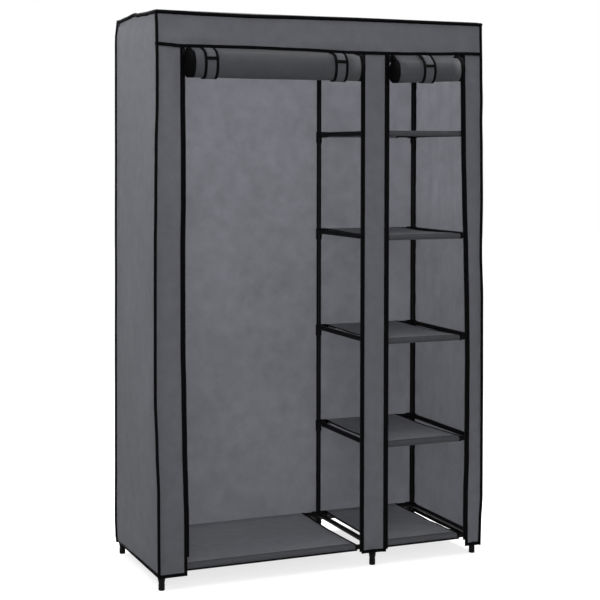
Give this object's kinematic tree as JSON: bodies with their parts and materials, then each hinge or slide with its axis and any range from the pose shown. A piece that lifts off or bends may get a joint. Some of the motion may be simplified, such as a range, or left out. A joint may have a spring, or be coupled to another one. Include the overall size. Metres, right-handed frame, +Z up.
{
  "type": "portable fabric wardrobe",
  "caption": "Tall free-standing clothes wardrobe: steel pole frame with shelves and a hanging rod inside a piped grey fabric cover with zipped roll-up doors.",
  "frame": {"origin": "on the floor, under the middle of the whole object's box, rolled doors included", "axes": "+X to the right seen from the front, +Y towards the back, +Z up; the doors face -Y"},
  "size_m": [1.1, 0.5073, 1.75],
  "materials": {
    "black_steel": "powder coated, satin",
    "black_plastic": "moulded, satin",
    "shelf_fabric": "matt non-woven cloth",
    "cover_fabric": "matt non-woven cloth",
    "door_fabric": "matt non-woven cloth",
    "black_trim": "matt woven tape",
    "black_metal": "painted, satin"
  },
  "bodies": {
    "frame_and_cover": {"column_front_left": "black_steel", "column_front_middle": "black_steel", "column_front_right": "black_steel", "column_back_left": "black_steel", "column_back_middle": "black_steel", "column_back_right": "black_steel", "left_rail_base": "black_plastic", "left_rail_top": "black_plastic", "middle_rail_base": "black_plastic", "middle_rail_top": "black_plastic", "right_rail_base": "black_plastic", "right_rail_top": "black_plastic", "middle_rail_1": "black_plastic", "right_rail_1": "black_plastic", "middle_rail_2": "black_plastic", "right_rail_2": "black_plastic", "middle_rail_3": "black_plastic", "right_rail_3": "black_plastic", "middle_rail_4": "black_plastic", "right_rail_4": "black_plastic", "top_pole_front_left": "black_steel", "top_pole_back_left": "black_steel", "top_pole_front_right": "black_steel", "top_pole_back_right": "black_steel", "hanging_rod": "black_steel", "left_floor": "shelf_fabric", "right_floor": "shelf_fabric", "shelf_1": "shelf_fabric", "shelf_2": "shelf_fabric", "shelf_3": "shelf_fabric", "shelf_4": "shelf_fabric", "roof_panel": "cover_fabric", "back_panel": "cover_fabric", "left_side_panel": "cover_fabric", "right_side_panel": "cover_fabric", "front_valance": "cover_fabric", "left_front_post": "cover_fabric", "middle_front_post": "cover_fabric", "right_front_post": "cover_fabric", "cover_piping": "black_trim", "left_door_zip_left": "black_trim", "left_door_zip_right": "black_trim", "right_door_zip_left": "black_trim", "right_door_zip_right": "black_trim", "left_door_sheet": "door_fabric", "right_door_sheet": "door_fabric", "left_door_strap_1": "door_fabric", "left_door_strap_2": "door_fabric", "right_door_strap": "door_fabric"},
    "left_door_zip_left_slider_body": {"left_door_zip_left_slider": "black_metal"},
    "left_door_zip_left_pull_body": {"left_door_zip_left_pull": "black_metal"},
    "left_door_zip_right_slider_body": {"left_door_zip_right_slider": "black_metal"},
    "left_door_zip_right_pull_body": {"left_door_zip_right_pull": "black_metal"},
    "right_door_zip_left_slider_body": {"right_door_zip_left_slider": "black_metal"},
    "right_door_zip_left_pull_body": {"right_door_zip_left_pull": "black_metal"},
    "right_door_zip_right_slider_body": {"right_door_zip_right_slider": "black_metal"},
    "right_door_zip_right_pull_body": {"right_door_zip_right_pull": "black_metal"},
    "left_door": {"left_door_roll": "door_fabric"},
    "right_door": {"right_door_roll": "door_fabric"}
  },
  "joints": [
    {"name": "left_door_lowers", "type": "slide", "parent": "frame_and_cover", "child": "left_door", "axis": [0, 0, -1], "range_m": [0, 1.5], "deforming": ["left_door_sheet", "left_door_strap_1", "left_door_strap_2"]},
    {"name": "right_door_lowers", "type": "slide", "parent": "frame_and_cover", "child": "right_door", "axis": [0, 0, -1], "range_m": [0, 1.495], "deforming": ["right_door_sheet", "right_door_strap"]},
    {"name": "left_door_zip_left_closes", "type": "slide", "parent": "frame_and_cover", "child": "left_door_zip_left_slider_body", "axis": [0, 0, -1], "range_m": [0, 1.57]},
    {"name": "left_door_zip_left_pull_swings", "type": "hinge", "parent": "left_door_zip_left_slider_body", "child": "left_door_zip_left_pull_body", "pos_m": [-0.4682, -0.20335, 1.6287], "axis": [-1, 0, 0], "range_deg": [0, 150]},
    {"name": "left_door_zip_right_closes", "type": "slide", "parent": "frame_and_cover", "child": "left_door_zip_right_slider_body", "axis": [0, 0, -1], "range_m": [0, 1.57]},
    {"name": "left_door_zip_right_pull_swings", "type": "hinge", "parent": "left_door_zip_right_slider_body", "child": "left_door_zip_right_pull_body", "pos_m": [0.1232, -0.20335, 1.6287], "axis": [-1, 0, 0], "range_deg": [0, 150]},
    {"name": "right_door_zip_left_closes", "type": "slide", "parent": "frame_and_cover", "child": "right_door_zip_left_slider_body", "axis": [0, 0, -1], "range_m": [0, 1.57]},
    {"name": "right_door_zip_left_pull_swings", "type": "hinge", "parent": "right_door_zip_left_slider_body", "child": "right_door_zip_left_pull_body", "pos_m": [0.2188, -0.20335, 1.6287], "axis": [-1, 0, 0], "range_deg": [0, 150]},
    {"name": "right_door_zip_right_closes", "type": "slide", "parent": "frame_and_cover", "child": "right_door_zip_right_slider_body", "axis": [0.0168, 0, -0.9999], "range_m": [0, 1.57]},
    {"name": "right_door_zip_right_pull_swings", "type": "hinge", "parent": "right_door_zip_right_slider_body", "child": "right_door_zip_right_pull_body", "pos_m": [0.48041, -0.20335, 1.6287], "axis": [-1, 0, 0], "range_deg": [0, 150]}
  ]
}
